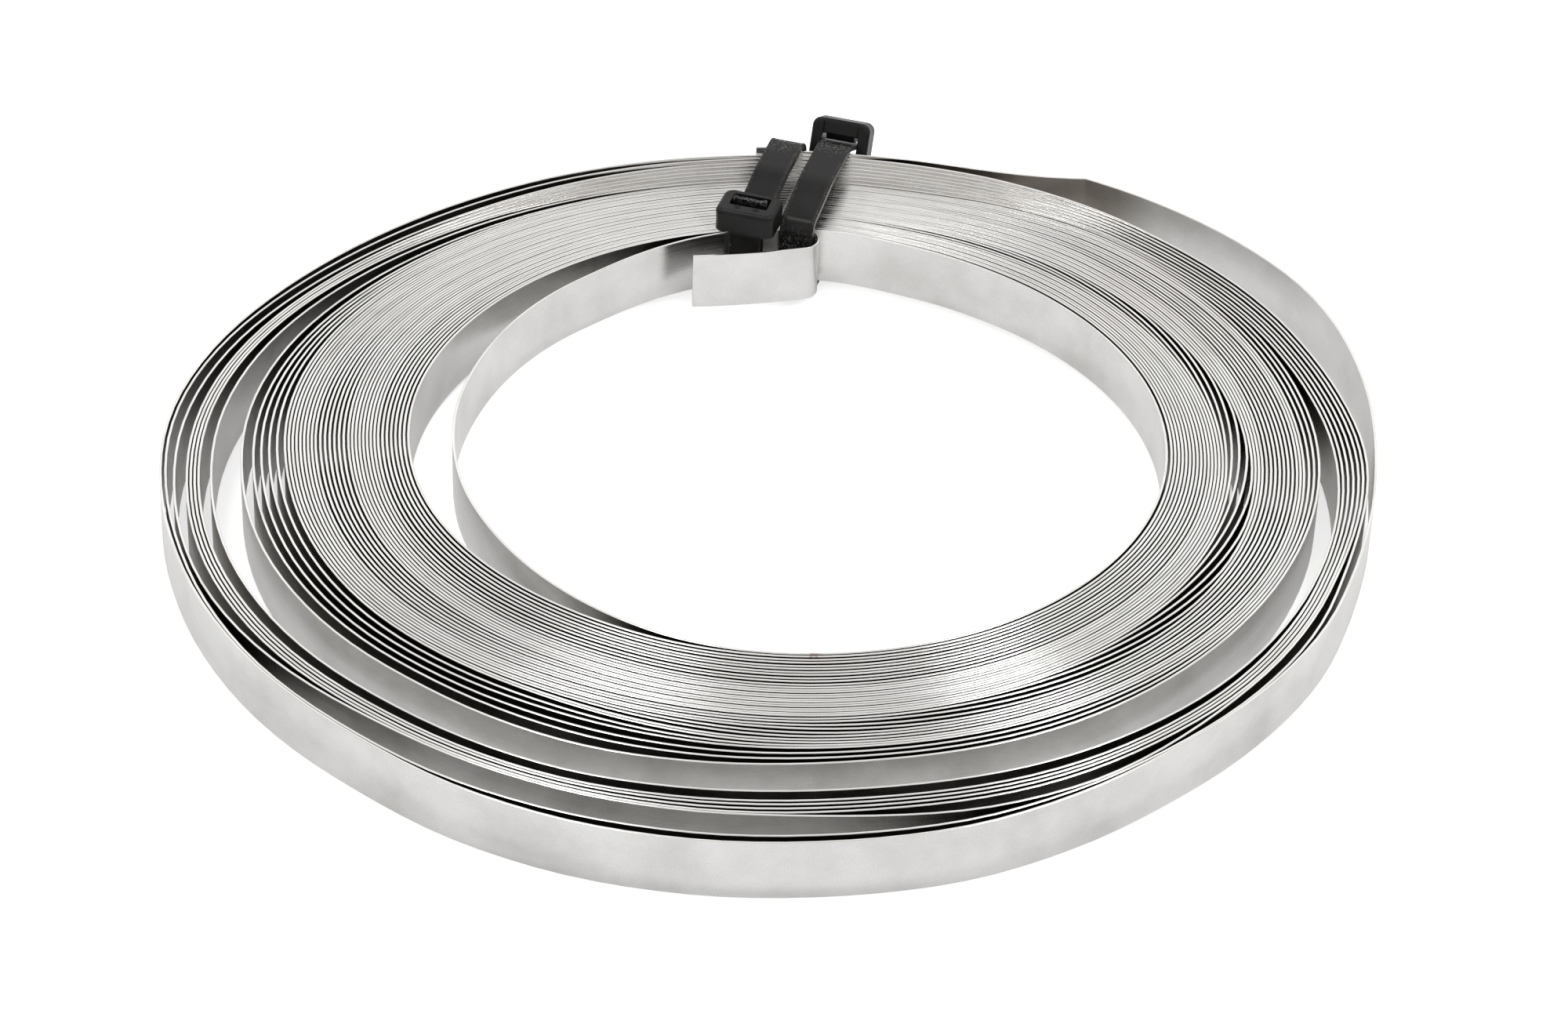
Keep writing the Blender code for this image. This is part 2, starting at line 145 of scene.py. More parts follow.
def outer(angle, radius):
    """Bulge: a smooth rise, then a fall to the kink. Straight: the chord's radius, by sines."""
    start, end = wound(TURNS, BULGE_START), wound(TURNS, STRAIGHT_END)
    rise = smooth((angle - BULGE_START) / (BULGE_ANGLE - BULGE_START))
    rise = start + (BULGE_RADIUS - start) * rise
    fall = np.clip((angle - BULGE_ANGLE) / (KINK_ANGLE - BULGE_ANGLE), 0, 1) ** 1.3
    fall = BULGE_RADIUS + (KINK_RADIUS - BULGE_RADIUS) * fall
    bulge = np.where(angle < BULGE_ANGLE, rise, fall)
    kink, straight, here = KINK_ANGLE * DEG, STRAIGHT_END * DEG, angle * DEG
    chord = KINK_RADIUS * end * math.sin(straight - kink)
    chord = chord / (KINK_RADIUS * np.sin(here - kink) + end * np.sin(straight - here))
    changed = np.where(angle > KINK_ANGLE, chord, bulge)
    return np.where((angle > BULGE_START) & (angle < STRAIGHT_END), changed, radius)


# Behind, where the ties squeeze the pack, the outer turns have climbed over the inner ones
LIFT = 5.6 * MM
LIFT_FROM = 37.0


def lift(turn, angle):
    """LIFT * wraps past the 37th * (rise on the right of the ties + fall on their left)."""
    climbed = np.maximum((wraps_at(turn, angle) - LIFT_FROM) / (TURNS - LIFT_FROM), 0.0)
    rise = smooth((angle - 375.0) / 65.0)
    rise = np.where(turn == TURNS, smooth((angle - KINK_ANGLE) / 24.0), rise)
    return LIFT * climbed * (rise + smooth((165.0 - angle) / 60.0))


steps = np.arange(TURNS * STEPS + 1)
turn = np.minimum(steps // STEPS, TURNS - 1) + 1
angle = 90.0 + (steps - (turn - 1) * STEPS) * 360.0 / STEPS
# Three more rows keep the crease at the kink tight
at = np.searchsorted(angle[turn == TURNS], KINK_ANGLE) + (TURNS - 1) * STEPS
angle = np.insert(angle, at, KINK_ANGLE + np.array([-0.35, 0.0, 0.35]))
turn = np.insert(turn, at, [TURNS] * 3)
radius = wound(turn, angle)
radius = np.where(turn == TURNS, outer(angle, radius), radius)
# The last turn is held in on three sides, so that the coil keeps to its measured size
for depth, *angles in ((0.85, 145, 177, 194, 228), (0.45, 238, 258, 276, 300),
                       (0.50, 330, 358, 373, 392)):
    radius = radius - np.where(turn == TURNS, depth * MM * swell(angle, *angles), 0.0)

# The free outer end runs on a little past the ties and springs up. All turns wander in height.
OUTER_END = 456.6
END_RISE = 1.3 * MM
WANDER = 0.09 * MM
tail = np.linspace(0.0, 1.0, 8)[1:]
angle = np.append(angle, 450.0 + (OUTER_END - 450.0) * tail)
radius = np.append(radius, np.full(len(tail), radius[-1]))
turn = np.append(turn, np.full(len(tail), TURNS))
wraps = wraps_at(turn, angle)
height = lift(turn, angle)
height += WANDER * (1.0 + np.sin(wraps * 2.17) * np.sin(angle * DEG * 2 + wraps))
height[-len(tail):] += END_RISE * smooth(tail)
route = np.stack([radius * np.cos(angle * DEG), radius * np.sin(angle * DEG)], 1)

# The inner end: a flap with a slight bow, folded back round a half turn into the first wrap
FOLD_RADIUS = 4.4 * MM
FOLD_SIDE = -1.2 * MM
FLAP_SLOPE = 11.3 * DEG
FLAP_LENGTH = 29.4 * MM
FLAP_BOW = 0.6 * MM
turned = np.linspace(-90 * DEG + FLAP_SLOPE, 90 * DEG, 28)[:-1]
fold = np.array([FOLD_SIDE, radius[0] - FOLD_RADIUS])
fold = fold + FOLD_RADIUS * np.stack([np.cos(turned), np.sin(turned)], 1)
along = np.array([-math.cos(FLAP_SLOPE), -math.sin(FLAP_SLOPE)])
bowed = np.array([math.sin(FLAP_SLOPE), -math.cos(FLAP_SLOPE)])
share = np.linspace(1.0, 0.0, 24)[:-1, None]
flap = fold[0] + along * (FLAP_LENGTH * share) + bowed * (FLAP_BOW * 4 * share * (1 - share))
route = np.concatenate([flap, fold, route])
height = np.concatenate([np.zeros(len(flap) + len(fold)), height])


def run_along(points):
    """Length from the first point to each: the sum of the steps between them."""
    return np.append(0, np.cumsum(np.linalg.norm(np.diff(points, axis=0), axis=1)))


def heading(points):
    """Unit tangent at each point of a line."""
    forward = np.gradient(points, axis=0)
    return forward / np.linalg.norm(forward, axis=1)[:, None]


def ribbon(route, height, profile):
    """Grid: route + profile[0] * outward normal, at height + profile[1]; rows run along it."""
    forward = heading(route)
    out = np.stack([forward[:, 1], -forward[:, 0]], 1)
    xy = route[:, None, :] + out[:, None, :] * profile[None, :, 0, None]
    z = height[:, None] + profile[None, :, 1]
    return np.concatenate([xy, z[:, :, None]], 2)


def grid_faces(rows, cols, first, ring):
    """Quads of a grid closed across. A ring joins its last row to its first; others get two caps."""
    i, j = np.meshgrid(np.arange(rows if ring else rows - 1), np.arange(cols), indexing="ij")
    row, next_row, after = i * cols, (i + 1) % rows * cols, (j + 1) % cols
    quads = np.stack([row + j, row + after, next_row + after, next_row + j], 2) + first
    faces = quads.reshape(-1, 4).tolist()
    if not ring:
        end = first + (rows - 1) * cols
        faces += [list(range(first, first + cols))[::-1], list(range(end, end + cols))]
    return faces


def new_piece(name, points, faces, materials, sharp):
    """A smooth-shaded mesh object in the CAD's frame, with sharp edges past the given angle."""
    mesh = bpy.data.meshes.new(name)
    mesh.from_pydata(seated(points).tolist(), [], faces)
    for material in materials:
        mesh.materials.append(material)
    mesh.polygons.foreach_set("use_smooth", np.ones(len(faces), bool))
    mesh.set_sharp_from_angle(angle=sharp)
    piece = bpy.data.objects.new(name, mesh)
    bpy.context.scene.collection.objects.link(piece)
    return piece


def new_material(name):
    """An empty node material: itself, its tree and its shader."""
    material = bpy.data.materials.new(name)
    material.use_nodes = True
    tree = material.node_tree
    return material, tree, tree.nodes["Principled BSDF"]


def node(tree, kind, **values):
    """Adds a node at the end of the row; each value sets its property or input of that name."""
    made = tree.nodes.new(kind)
    made.location = (220 * len(tree.nodes), 0)
    for key, value in values.items():
        if hasattr(made, key):
            setattr(made, key, value)
        else:
            made.inputs[key].default_value = value
    return made


def remap(tree, source, low, high, to_low, to_high):
    """A straight line from low to high on to to_low to to_high, held at both ends."""
    made = node(tree, "ShaderNodeMapRange")
    labels = ("From Min", "From Max", "To Min", "To Max")
    for label, value in zip(labels, (low, high, to_low, to_high)):
        made.inputs[label].default_value = value
    tree.links.new(source, made.inputs["Value"])
    return made.outputs[0]


def reckon(tree, operation, *terms):
    """A Math node on sockets and plain numbers."""
    made = node(tree, "ShaderNodeMath", operation=operation)
    for socket, term in zip(made.inputs, terms):
        if isinstance(term, float):
            socket.default_value = term
        else:
            tree.links.new(term, socket)
    return made.outputs[0]


def toned(tree, source, *stops):
    """A colour ramp through stops of a place and a colour, in order."""
    made = node(tree, "ShaderNodeValToRGB")
    elements = made.color_ramp.elements
    for index, (place, colour) in ((0, stops[0]), (1, stops[-1])):
        elements[index].position = place
        elements[index].color = (*colour, 1)
    for place, colour in stops[1:-1]:
        elements.new(place).color = (*colour, 1)
    tree.links.new(source, made.inputs[0])
    return made.outputs[0]


# A Mix node's colours go in by sockets 6 and 7 and come out by socket 2; 0 is its share
def overlaid(tree, mask, below, colour):
    """Colour mix: below * (1 - mask) + colour * mask."""
    made = node(tree, "ShaderNodeMix", data_type="RGBA")
    made.inputs[7].default_value = (*colour, 1)
    tree.links.new(mask, made.inputs[0])
    tree.links.new(below, made.inputs[6])
    return made.outputs[2]


def bumped(tree, height, shader, strength, distance):
    """A height, as a Bump node on the shader's normal."""
    made = node(tree, "ShaderNodeBump", Strength=strength, Distance=distance)
    tree.links.new(height, made.inputs["Height"])
    tree.links.new(made.outputs[0], shader.inputs["Normal"])


# Rolling and slitting leave marks along the strip: noise stretched on the strip's UV map, in metres
marks_group = bpy.data.node_groups.new("strip_marks", "ShaderNodeTree")
for label, kind in (("Strip", "Vector"), ("Stretch", "Vector"),
                    ("Size", "Float"), ("Detail", "Float")):
    marks_group.interface.new_socket(label, in_out="INPUT", socket_type="NodeSocket" + kind)
marks_group.interface.new_socket("Marks", in_out="OUTPUT", socket_type="NodeSocketFloat")
taken = node(marks_group, "NodeGroupInput")
stretch = node(marks_group, "ShaderNodeMapping")
texture = node(marks_group, "ShaderNodeTexNoise", Roughness=0.6)
given = node(marks_group, "NodeGroupOutput")
for source, socket in ((taken.outputs["Strip"], stretch.inputs["Vector"]),
                       (taken.outputs["Stretch"], stretch.inputs["Scale"]),
                       (stretch.outputs[0], texture.inputs["Vector"]),
                       (taken.outputs["Size"], texture.inputs["Scale"]),
                       (taken.outputs["Detail"], texture.inputs["Detail"]),
                       (texture.outputs[0], given.inputs["Marks"])):
    marks_group.links.new(source, socket)


def marks(tree, strip, stretch, size, detail):
    """Places the group: noise on the strip's UV map, stretched, with its size and detail."""
    made = node(tree, "ShaderNodeGroup", node_tree=marks_group, Stretch=stretch, Size=size,
                Detail=detail)
    tree.links.new(strip.outputs[0], made.inputs["Strip"])
    return made.outputs[0]


# Mill finish of the flat faces: warm grey, fine lines along the strip, clouds, specks and scratches,
# and a painted dark reflection in narrow gaps
steel, tree, shader = new_material("stainless_face")
strip = node(tree, "ShaderNodeUVMap", uv_map="strip")
lines = marks(tree, strip, (22, 5200, 1), 1.0, 3.0)
clouds = marks(tree, strip, (1, 1, 1), 38.0, 4.0)
specks = marks(tree, strip, (1, 1, 1), 2600.0, 2.0)
nicks = marks(tree, strip, (260, 2400, 1), 1.0, 2.0)
shade = node(tree, "ShaderNodeMix", data_type="RGBA", blend_type="MULTIPLY")
shade.inputs[0].default_value = 1.0
tone = toned(tree, clouds, (0.34, (0.63, 0.62, 0.605)), (0.6, (0.76, 0.755, 0.745)))
tree.links.new(tone, shade.inputs[6])
tree.links.new(remap(tree, specks, 0.3, 0.7, 0.93, 1.05), shade.inputs[7])
scratches = remap(tree, nicks, 0.69, 0.73, 0.0, 0.5)
scratched = overlaid(tree, scratches, shade.outputs[2], (0.80, 0.79, 0.77))
# A painted reflection: in a narrow gap the face mirrors only dark steel, so its colour is darkened
# there
painted_reflection_fac = node(tree, "ShaderNodeAttribute", attribute_name="painted_reflection").outputs["Fac"]
painted_reflection_mask = reckon(tree, "MULTIPLY", painted_reflection_fac, remap(tree, clouds, 0.3, 0.6, 0.8, 1.0))
tree.links.new(overlaid(tree, painted_reflection_mask, scratched, (0.16, 0.135, 0.105)), shader.inputs["Base Color"])
uneven = reckon(tree, "ADD", lines, clouds)
tree.links.new(remap(tree, uneven, 0.75, 1.25, 0.12, 0.27), shader.inputs["Roughness"])
bumped(tree, lines, shader, 0.10, 0.0001)
shader.inputs["Metallic"].default_value = 1.0

# The slit edges: brighter than the faces, uneven along the strip, with one rust spot in front
edge, tree, shader = new_material("stainless_edge")
strip = node(tree, "ShaderNodeUVMap", uv_map="strip")
sheen = marks(tree, strip, (45, 300, 1), 1.0, 3.0)
nicks = marks(tree, strip, (90, 4000, 1), 1.0, 2.0)
tone = toned(tree, sheen, (0.32, (0.84, 0.82, 0.79)), (0.62, (0.97, 0.96, 0.94)))
pitted = overlaid(tree, remap(tree, nicks, 0.66, 0.74, 0.0, 0.35), tone, (0.22, 0.19, 0.16))
RUST_PLACE = seated((0.0054, -0.0912, 0.0159))[0]
where = node(tree, "ShaderNodeTexCoord").outputs["Object"]
apart = node(tree, "ShaderNodeVectorMath", operation="DISTANCE")
apart.inputs[1].default_value = RUST_PLACE
tree.links.new(where, apart.inputs[0])
ragged = node(tree, "ShaderNodeTexNoise", Scale=900.0, Detail=4.0)
tree.links.new(where, ragged.inputs["Vector"])
reach = reckon(tree, "MULTIPLY_ADD", ragged.outputs[0], 0.006, apart.outputs["Value"])
rusty = remap(tree, reach, 0.0050, 0.0034, 0.0, 0.6)
tree.links.new(overlaid(tree, rusty, pitted, (0.42, 0.20, 0.08)), shader.inputs["Base Color"])
bumped(tree, sheen, shader, 0.05, 0.0001)
shader.inputs["Metallic"].default_value = 1.0
shader.inputs["Roughness"].default_value = 0.19

# Section: two flat faces between slightly crowned edges, the upper one in finer steps
FACE, EDGE = 0, 1
half = THICKNESS / 2
over = np.linspace(0, 180, 9) * DEG
below = np.linspace(180, 360, 5) * DEG
profile = np.concatenate([
    np.stack([half * np.cos(over), WIDTH - CROWN * (1 - np.sin(over))], 1),
    np.stack([half * np.cos(below), CROWN * (1 + np.sin(below))], 1),
])
grid = ribbon(route, height, profile)
rows, cols = grid.shape[:2]
band = new_piece("steel_band_coil", grid, grid_faces(rows, cols, 0, False), (steel, edge), 28 * DEG)
kinds = (EDGE,) * 8 + (FACE,) + (EDGE,) * 4 + (FACE,)
kinds = np.append(np.tile(kinds, rows - 1), [FACE, FACE]).astype(np.int32)
band.data.polygons.foreach_set("material_index", kinds)

# UV map in metres: along the strip, and round its section
length = run_along(route)
around = run_along(np.concatenate([profile, profile[:1]]))
i, j = np.meshgrid(np.arange(rows - 1), np.arange(cols), indexing="ij")
uv = np.zeros((len(band.data.loops), 2), np.float32)
sides = np.stack([length[i], length[i], length[i + 1], length[i + 1]], 2).ravel()
uv[:len(sides), 0] = sides
uv[:len(sides), 1] = np.stack([around[j], around[j + 1], around[j + 1], around[j]], 2).ravel()
band.data.uv_layers.new(name="strip").data.foreach_set("uv", uv.ravel())
# The section runs round the strip in the sense that points its faces inwards: they are turned out
band.data.flip_normals()

# How narrow the gap beside each face is, 0 to 1, from its clearance to the next turn: the share of
# the painted dark reflection on that face
NARROW = 3.4 * MM
NO_TURN = 1.0
before = np.where(turn > 1, radius - wound(np.maximum(turn - 1, 1), angle), NO_TURN)
beyond = np.where(turn < TURNS, wound(np.minimum(turn + 1, TURNS), angle) - radius, NO_TURN)
last = turn == TURNS - 1
beyond[last] = outer(angle[last], wound(TURNS, angle[last])) - radius[last]
inner_face, outer_face = [smooth(1.15 - (gap - THICKNESS) / NARROW) for gap in (before, beyond)]
# A climbing turn clears the one inside it; beside the kink a painted dark reflection is placed at
# given angles
inner_face = inner_face * (1.0 - 0.8 * smooth(lift(turn, angle) / (0.6 * MM)))
painted_kink_reflection = np.where(turn == TURNS, 0.9 * swell(angle, 407.0, 417.0, 441.0, 446.0), 0.0)
free_end = (turn == TURNS) & (angle > 449.0)
inner_face = np.where(free_end, 0.0, np.maximum(inner_face, painted_kink_reflection))
painted_reflection = np.zeros(grid.shape[:2])
painted_reflection[-len(turn):] = np.where(profile[None, :, 0] < 0, inner_face[:, None], outer_face[:, None])
band.data.attributes.new("painted_reflection", "FLOAT", "POINT").data.foreach_set("value", painted_reflection.ravel())
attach(band, "root")
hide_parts("steel_band")

# The left cable tie
# Black nylon, moulded in one piece: a strap with raised borders outside and teeth inside, and a
# head whose slot the tail is pulled up through. The tail is cut off just above the head.
STRAP_WIDTH, STRAP_THICK = 9.0 * MM, 1.6 * MM
HEAD_LENGTH, HEAD_WIDTH, HEAD_HEIGHT = 11.6 * MM, 16.0 * MM, 7.0 * MM
SLOT_LENGTH, SLOT_WIDTH = 5.4 * MM, 10.0 * MM
TOOTH = 1.15 * MM
TIE_LEAN = 15.5 * DEG
ROW_STEP = 0.2 * MM

# Columns across the strap, as shares of half its width: close together on the two raised borders
COLUMNS = np.concatenate([
    np.linspace(-1, -0.955, 3), np.linspace(-0.88, -0.82, 3), np.linspace(-0.7, 0.7, 15),
    np.linspace(0.82, 0.88, 3), np.linspace(0.955, 1, 3),
])
ON_BORDER = (np.abs(COLUMNS) > 0.84) & (np.abs(COLUMNS) < 0.96)


def rounded(corners):
    """Straight runs with an arc of each corner's own radius: even points, and the run to each."""
    places = [np.array(corner[:2]) for corner in corners]
    radii = [corner[2] for corner in corners]
    share = np.linspace(0, 1, 30)[:, None]
    line = [places[:1]]
    for before, here, after, radius in zip(places, places[1:], places[2:], radii[1:]):
        back = (before - here) / np.linalg.norm(before - here)
        ahead = (after - here) / np.linalg.norm(after - here)
        half = math.acos(np.clip(back @ ahead, -1, 1)) / 2
        middle = (back + ahead) / np.linalg.norm(back + ahead)
        centre = here + middle * radius / math.sin(half)
        first = here + back * radius / math.tan(half) - centre
        last = here + ahead * radius / math.tan(half) - centre
        spokes = first * (1 - share) + last * share
        line.append(centre + spokes * radius / np.linalg.norm(spokes, axis=1)[:, None])
    line = np.concatenate(line + [places[-1:]])
    run = run_along(line)
    even = np.linspace(0, run[-1], int(run[-1] / ROW_STEP))
    return np.stack([np.interp(even, run, line[:, axis]) for axis in (0, 1)], 1), even


def strap_grid(line, run):
    """Rows of line + normal * relief: a sunk face between borders outside, teeth between rails."""
    forward = heading(line)
    normal = np.stack([-forward[:, 1], forward[:, 0]], 1)
    half, thick = STRAP_WIDTH / 2, STRAP_THICK / 2
    across = COLUMNS * half
    border = smooth((half - 0.05 * MM - np.abs(across)) / (0.12 * MM))
    sunk = smooth((half - 0.50 * MM - np.abs(across)) / (0.35 * MM))
    outside = thick - 0.14 * MM * (1 - border) - 0.10 * MM * sunk
    across_back = across[::-1]
    groove = smooth((half - 1.1 * MM - np.abs(across_back)) / (0.15 * MM))
    saw = (run / TOOTH) % 1.0
    saw = np.where(saw < 0.8, saw / 0.8, (1 - saw) / 0.2)
    rail = -thick + 0.12 * MM * (1 - smooth((half - np.abs(across_back)) / (0.15 * MM)))
    inside = rail[None, :] + groove[None, :] * (0.30 + 0.22 * saw[:, None]) * MM
    offset = np.concatenate([np.tile(outside, (len(run), 1)), inside], 1)
    xy = line[:, None, :] + normal[:, None, :] * offset[:, :, None]
    side = np.tile(np.concatenate([across, across_back]), (len(run), 1))
    return np.concatenate([xy, side[:, :, None]], 2)


def rounded_box(half_length, half_width, radius, shift):
    """A rectangle with four arcs; an index is the same place on a box of any size."""
    signs = ((1, 1), (-1, 1), (-1, -1), (1, -1))
    centres = np.array(signs) * [half_length - radius, half_width - radius]
    turned = (np.linspace(0, 90, 9) + 90 * np.arange(4)[:, None]) * DEG
    arcs = centres[:, None] + radius * np.stack([np.cos(turned), np.sin(turned)], 2)
    points = []
    for arc, after, count in zip(arcs, np.roll(arcs, -1, 0), (72, 32, 72, 32)):
        share = np.linspace(0, 1, count + 2)[1:-1, None]
        points += [arc, arc[-1] * (1 - share) + after[0] * share]
    return np.concatenate(points) + [shift, 0.0]


def head_grid():
    """Rings over the head: up the outer wall, over the top, down the slot and back below."""
    rings = []
    length, width, height = HEAD_LENGTH / 2, HEAD_WIDTH / 2, HEAD_HEIGHT / 2
    slot_length, slot_width = SLOT_LENGTH / 2, SLOT_WIDTH / 2
    quarter = np.linspace(0, 90, 7) * DEG

    def ring(level, inset, share):
        """A ring at one level; share 0 follows the outer wall, share 1 the slot."""
        corner = max(2.3 * MM - inset * 0.5, 0.4 * MM)
        wall = np.array([length - inset, width - inset, corner, 1.0 * MM])
        slot = np.array([slot_length + inset, slot_width + inset, 0.5 * MM, 0.0])
        flat = rounded_box(*(wall * (1 - share) + slot * share))
        rings.append(np.concatenate([flat, np.full((len(flat), 1), level)], 1))

    low, high, lip = 1.0 * MM, 1.2 * MM, 0.25 * MM
    for bend in quarter:
        ring(-height + low * (1 - math.cos(bend)), low * (1 - math.sin(bend)), 0.0)
    for share in np.linspace(0, 1, 12)[1:-1]:
        level = -height + low + share * (2 * height - low - high)
        ring(level, 0.22 * MM * share * (1 - share), 0.0)
    for bend in quarter:
        ring(height - high * (1 - math.sin(bend)), high * (1 - math.cos(bend)), 0.0)
    for share in np.linspace(0, 1, 26)[1:-1]:
        ring(height, high * (1 - share) + lip * share, share)
    for bend in quarter[::2]:
        ring(height - lip * (1 - math.cos(bend)), lip * (1 - math.sin(bend)), 1.0)
    for share in np.linspace(0, 1, 14)[1:-1]:
        ring(height - lip - share * (2 * height - 2 * lip), 0.0, 1.0)
    for bend in quarter[::-2]:
        ring(-height + lip * (1 - math.cos(bend)), lip * (1 - math.sin(bend)), 1.0)
    for share in np.linspace(0, 1, 26)[1:-1]:
        ring(-height, lip * (1 - share) + low * share, 1 - share)
    grid = np.array(rings)
    along, across, level = grid[:, :, 0], grid[:, :, 1], grid[:, :, 2]
    # Two round dimples in front of the slot on top
    for side in (-1, 1):
        apart = np.hypot(along - 4.0 * MM, across - side * 2.55 * MM)
        dimple = 0.42 * MM * smooth((0.85 * MM - apart) / (0.5 * MM))
        level -= np.where(level > height - 0.1 * MM, dimple, 0.0)
    # A channel below, from the slot out to the far end
    wide = smooth((4.9 * MM - np.abs(across)) / (0.25 * MM))
    far = smooth((along - slot_length + 0.3 * MM) / (0.3 * MM))
    below = smooth((-height + 0.9 * MM - level) / (0.9 * MM))
    level += 0.55 * MM * wide * far * below
    return grid


def pawl_grid():
    """A wedge from the slot's far wall to just short of the tail, as five-sided rows across."""
    outline = np.array([(2.75, -2.9), (1.15, -1.9), (1.0, -0.6), (1.3, 1.6), (2.75, 2.4)]) * MM
    across = np.linspace(-3.9, 3.9, 12) * MM
    rows = np.tile(outline, (len(across), 1, 1))
    side = np.repeat(across, len(outline)).reshape(len(across), -1)
    return np.stack([rows[:, :, 0], side, rows[:, :, 1]], 2)


def cable_tie(name, foot, corners, slot, through, worn_at, material):
    """Strap, head and pawl in one mesh; a point is foot + x * ahead + z * aside, at height y."""
    line, run = rounded(corners)
    strap = strap_grid(line, run)
    # The cut end is torn a little, and the seed makes the two ties differ
    torn = np.random.default_rng(len(name)).uniform(-0.22, 0.10, (strap.shape[1], 1)) * MM
    strap[-1, :, :2] += torn * (line[-1] - line[-2]) / ROW_STEP
    # Wear fades both ways from each place, a share of the strap's run
    wear_and_highlight = np.zeros(strap.shape[:2])
    for place, spread in worn_at:
        wear_and_highlight = np.maximum(wear_and_highlight, np.exp(-((run[:, None] - place * run[-1]) / spread) ** 2))
    # Both raised borders get paler specks: a painted highlight
    borders = np.concatenate([ON_BORDER, np.zeros(len(COLUMNS), bool)])
    wear_and_highlight[:, borders] = np.maximum(wear_and_highlight[:, borders], 0.35)
    points, faces = [strap.reshape(-1, 3)], grid_faces(*strap.shape[:2], 0, False)
    away = np.array([-through[1], through[0]])
    for block, ring in ((head_grid(), True), (pawl_grid(), False)):
        faces += grid_faces(*block.shape[:2], sum(map(len, points)), ring)
        flat = block.reshape(-1, 3)
        xy = slot + flat[:, :1] * away + flat[:, 2:] * through
        points.append(np.concatenate([xy, flat[:, 1:2]], 1))
    points = np.concatenate(points)
    ahead = np.array([math.sin(TIE_LEAN), math.cos(TIE_LEAN)])
    aside = np.array([math.cos(TIE_LEAN), -math.sin(TIE_LEAN)])
    xy = np.array(foot) + points[:, :1] * ahead + points[:, 2:] * aside
    standing = np.concatenate([xy, points[:, 1:2]], 1)
    tie = new_piece(name, standing, faces, (material,), 38 * DEG)
    wear_and_highlight_values = np.zeros(len(points))
    wear_and_highlight_values[:wear_and_highlight.size] = wear_and_highlight.ravel()
    tie.data.attributes.new("wear_and_highlight", "FLOAT", "POINT").data.foreach_set("value", wear_and_highlight_values)
    return tie


# Black nylon: satin, finely grained, with paler scuffs where the strap is bent or rubbed, and paler
# specks along both raised borders as a painted highlight
nylon, tree, shader = new_material("black_nylon")
where = node(tree, "ShaderNodeTexCoord").outputs["Object"]
grain = node(tree, "ShaderNodeTexNoise", Scale=2600.0, Detail=3.0, Roughness=0.6)
patches = node(tree, "ShaderNodeTexNoise", Scale=160.0, Detail=4.0, Roughness=0.6)
specks = node(tree, "ShaderNodeTexNoise", Scale=1500.0, Detail=2.0, Roughness=0.7)
for texture in (grain, patches, specks):
    tree.links.new(where, texture.inputs["Vector"])
wear_and_highlight = node(tree, "ShaderNodeAttribute", attribute_name="wear_and_highlight").outputs["Fac"]
scuffs_and_highlight = reckon(tree, "MULTIPLY", remap(tree, specks.outputs[0], 0.5, 0.66, 0.0, 1.0), wear_and_highlight)
black = toned(tree, patches.outputs[0], (0.35, (0.004, 0.0038, 0.0036)),
              (0.68, (0.010, 0.0095, 0.009)))
tree.links.new(overlaid(tree, scuffs_and_highlight, black, (0.16, 0.16, 0.155)), shader.inputs["Base Color"])
satin = remap(tree, patches.outputs[0], 0.0, 1.0, 0.26, 0.42)
tree.links.new(satin, shader.inputs["Roughness"])
raised = reckon(tree, "MULTIPLY_ADD", scuffs_and_highlight, 1.5, grain.outputs[0])
bumped(tree, raised, shader, 0.25, 0.00012)
shader.inputs["Specular IOR Level"].default_value = 0.24

# Both ties share these: from the pack to the strap's middle, the top of the arch over the pack,
# and from the slot's middle to the neck and to the end of the tail
CLEAR = 0.55 * MM + STRAP_THICK / 2
ARCH = WIDTH + float(lift(TURNS, OUTER_END)) + CLEAR + 0.4 * MM
NECK = HEAD_LENGTH / 2 - 2.6 * MM
TAIL_STUB = HEAD_HEIGHT / 2 + 0.7 * MM

# Corners from the neck over the top, down outside, under the coil and up through the slot
inner, level, outer_leg = -4.48 * MM, 28.4 * MM, 35.25 * MM
slot = np.array([inner + 3.4 * MM, WIDTH + 2.6 * MM + HEAD_HEIGHT / 2])
neck = slot + np.array([NECK, 1.6 * MM - HEAD_HEIGHT / 2])
corners = (
    (neck[0], neck[1], 0.0),
    ((neck[0] + outer_leg) / 2, (neck[1] + ARCH) / 2 + 1.6 * MM, 26 * MM),
    (outer_leg, ARCH + 0.5 * MM, 3.7 * MM),
    (outer_leg, LIFT - CLEAR, 1.8 * MM),
    (level, -CLEAR, 1.8 * MM),
    (inner, -CLEAR, 1.8 * MM),
    (inner, WIDTH + 0.9 * MM, 2 * MM),
    (slot[0], WIDTH + 4.3 * MM, 2 * MM),
    (slot[0], slot[1] + TAIL_STUB, 0.0),
)
left = cable_tie("cable_tie_left_moulding", (-14.46 * MM, 91.29 * MM), corners, slot,
                 np.array([0.0, 1.0]), ((0.25, 4.0 * MM), (1.0, 1.2 * MM)), nylon)
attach(left, "root")
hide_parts("cable_tie_left")

